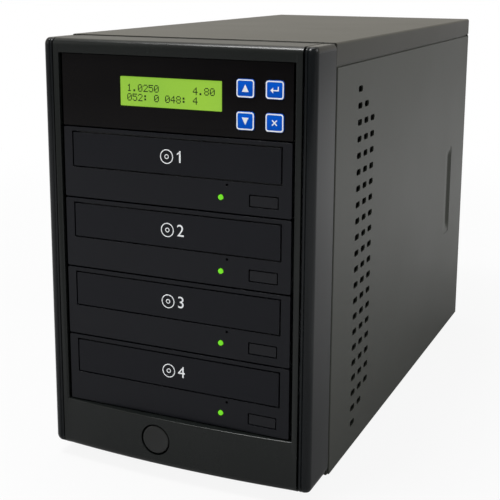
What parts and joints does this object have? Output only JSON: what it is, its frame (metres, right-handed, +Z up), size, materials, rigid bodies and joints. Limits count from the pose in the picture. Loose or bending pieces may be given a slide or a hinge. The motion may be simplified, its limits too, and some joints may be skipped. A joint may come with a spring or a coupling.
{
  "type": "disc duplicator tower",
  "caption": "Upright disc duplicator: stacked tray-loading drives under a copy controller with screen and keys, in a black steel case.",
  "frame": {"origin": "bottom centre of the whole machine, at the soles of its feet", "axes": "+Z up, the front with its drives faces -Y, +X to the right seen from the front"},
  "size_m": [0.172, 0.3784, 0.2634],
  "materials": {
    "case_paint": "satin black powder coat",
    "zinc_steel": "zinc plated sheet",
    "bright_steel": "bright plated",
    "fascia_plastic": "satin moulded",
    "trim_plastic": "semi gloss moulded",
    "panel_gloss": "high gloss",
    "screen_glass": "back lit screen",
    "key_plastic": "satin printed cap",
    "circuit_board": "solder resist",
    "button_plastic": "satin moulded",
    "switch_body": "matte moulded",
    "drive_steel": "plated sheet",
    "drive_plastic": "fine satin moulded",
    "tray_plastic": "matte moulded",
    "eject_plastic": "satin moulded",
    "lamp_green": "clear green lens",
    "supply_steel": "plated sheet",
    "socket_plastic": "matte moulded",
    "rocker_plastic": "satin moulded",
    "fan_plastic": "matte moulded",
    "foot_rubber": "matte rubber"
  },
  "bodies": {
    "case": {"chassis": "zinc_steel", "drive_cage": "zinc_steel", "control_carrier": "zinc_steel", "top_cover": "case_paint", "front_bezel": "fascia_plastic", "side_trim_left": "trim_plastic", "side_trim_right": "trim_plastic", "control_panel": "panel_gloss", "lcd_glass": "screen_glass", "display_board": "circuit_board", "controller_board": "circuit_board", "power_switch": "switch_body", "power_supply": "supply_steel", "power_supply_guard": "bright_steel", "power_inlet": "socket_plastic", "mains_switch_housing": "socket_plastic", "rear_fan_frame": "fan_plastic", "rear_fan_guard": "bright_steel", "foot_front_left": "foot_rubber", "foot_rear_left": "foot_rubber", "foot_front_right": "foot_rubber", "foot_rear_right": "foot_rubber", "drive_body_1": "drive_steel", "drive_bezel_1": "drive_plastic", "drive_lamp_1": "lamp_green", "drive_body_2": "drive_steel", "drive_bezel_2": "drive_plastic", "drive_lamp_2": "lamp_green", "drive_body_3": "drive_steel", "drive_bezel_3": "drive_plastic", "drive_lamp_3": "lamp_green", "drive_body_4": "drive_steel", "drive_bezel_4": "drive_plastic", "drive_lamp_4": "lamp_green"},
    "tray_1_body": {"tray_1": "tray_plastic", "tray_door_1": "drive_plastic"},
    "eject_1_body": {"eject_button_1": "eject_plastic"},
    "tray_2_body": {"tray_2": "tray_plastic", "tray_door_2": "drive_plastic"},
    "eject_2_body": {"eject_button_2": "eject_plastic"},
    "tray_3_body": {"tray_3": "tray_plastic", "tray_door_3": "drive_plastic"},
    "eject_3_body": {"eject_button_3": "eject_plastic"},
    "tray_4_body": {"tray_4": "tray_plastic", "tray_door_4": "drive_plastic"},
    "eject_4_body": {"eject_button_4": "eject_plastic"},
    "key_up_body": {"key_up": "key_plastic"},
    "key_down_body": {"key_down": "key_plastic"},
    "key_enter_body": {"key_enter": "key_plastic"},
    "key_escape_body": {"key_escape": "key_plastic"},
    "power_button_body": {"power_button": "button_plastic"},
    "mains_rocker_body": {"mains_rocker": "rocker_plastic"},
    "power_supply_fan_body": {"power_supply_fan": "fan_plastic"},
    "rear_fan_body": {"rear_fan": "fan_plastic"},
    "side_panel_left_body": {"side_panel_left": "case_paint", "thumbscrew_left_low": "bright_steel", "thumbscrew_left_high": "bright_steel"},
    "side_panel_right_body": {"side_panel_right": "case_paint", "thumbscrew_right_low": "bright_steel", "thumbscrew_right_high": "bright_steel"}
  },
  "joints": [
    {"name": "tray_1_slide", "type": "slide", "parent": "case", "child": "tray_1_body", "axis": [0, -1, 0], "range_m": [0, 0.135]},
    {"name": "eject_1_press", "type": "slide", "parent": "case", "child": "eject_1_body", "axis": [0, 1, 0], "range_m": [0, 0.0009], "stiffness_N_per_m": 400},
    {"name": "tray_2_slide", "type": "slide", "parent": "case", "child": "tray_2_body", "axis": [0, -1, 0], "range_m": [0, 0.135]},
    {"name": "eject_2_press", "type": "slide", "parent": "case", "child": "eject_2_body", "axis": [0, 1, 0], "range_m": [0, 0.0009], "stiffness_N_per_m": 400},
    {"name": "tray_3_slide", "type": "slide", "parent": "case", "child": "tray_3_body", "axis": [0, -1, 0], "range_m": [0, 0.135]},
    {"name": "eject_3_press", "type": "slide", "parent": "case", "child": "eject_3_body", "axis": [0, 1, 0], "range_m": [0, 0.0009], "stiffness_N_per_m": 400},
    {"name": "tray_4_slide", "type": "slide", "parent": "case", "child": "tray_4_body", "axis": [0, -1, 0], "range_m": [0, 0.135]},
    {"name": "eject_4_press", "type": "slide", "parent": "case", "child": "eject_4_body", "axis": [0, 1, 0], "range_m": [0, 0.0009], "stiffness_N_per_m": 400},
    {"name": "key_up_press", "type": "slide", "parent": "case", "child": "key_up_body", "axis": [0, 1, 0], "range_m": [0, 0.001], "stiffness_N_per_m": 400},
    {"name": "key_down_press", "type": "slide", "parent": "case", "child": "key_down_body", "axis": [0, 1, 0], "range_m": [0, 0.001], "stiffness_N_per_m": 400},
    {"name": "key_enter_press", "type": "slide", "parent": "case", "child": "key_enter_body", "axis": [0, 1, 0], "range_m": [0, 0.001], "stiffness_N_per_m": 400},
    {"name": "key_escape_press", "type": "slide", "parent": "case", "child": "key_escape_body", "axis": [0, 1, 0], "range_m": [0, 0.001], "stiffness_N_per_m": 400},
    {"name": "power_button_press", "type": "slide", "parent": "case", "child": "power_button_body", "axis": [0, 1, 0], "range_m": [0, 0.0025], "stiffness_N_per_m": 300},
    {"name": "mains_rocker_tip", "type": "hinge", "parent": "case", "child": "mains_rocker_body", "pos_m": [0.04702, 0.18025, 0.0673], "axis": [0, 0, 1], "range_deg": [0, 16]},
    {"name": "power_supply_fan_spin", "type": "hinge", "parent": "case", "child": "power_supply_fan_body", "pos_m": [-0.021, 0.15965, 0.0503], "axis": [0, 1, 0], "continuous": true},
    {"name": "rear_fan_spin", "type": "hinge", "parent": "case", "child": "rear_fan_body", "pos_m": [0, 0.15965, 0.17215], "axis": [0, 1, 0], "continuous": true},
    {"name": "side_panel_left_slide", "type": "slide", "parent": "case", "child": "side_panel_left_body", "axis": [0, 1, 0], "range_m": [0, 0.018]},
    {"name": "side_panel_right_slide", "type": "slide", "parent": "case", "child": "side_panel_right_body", "axis": [0, 1, 0], "range_m": [0, 0.018]}
  ]
}
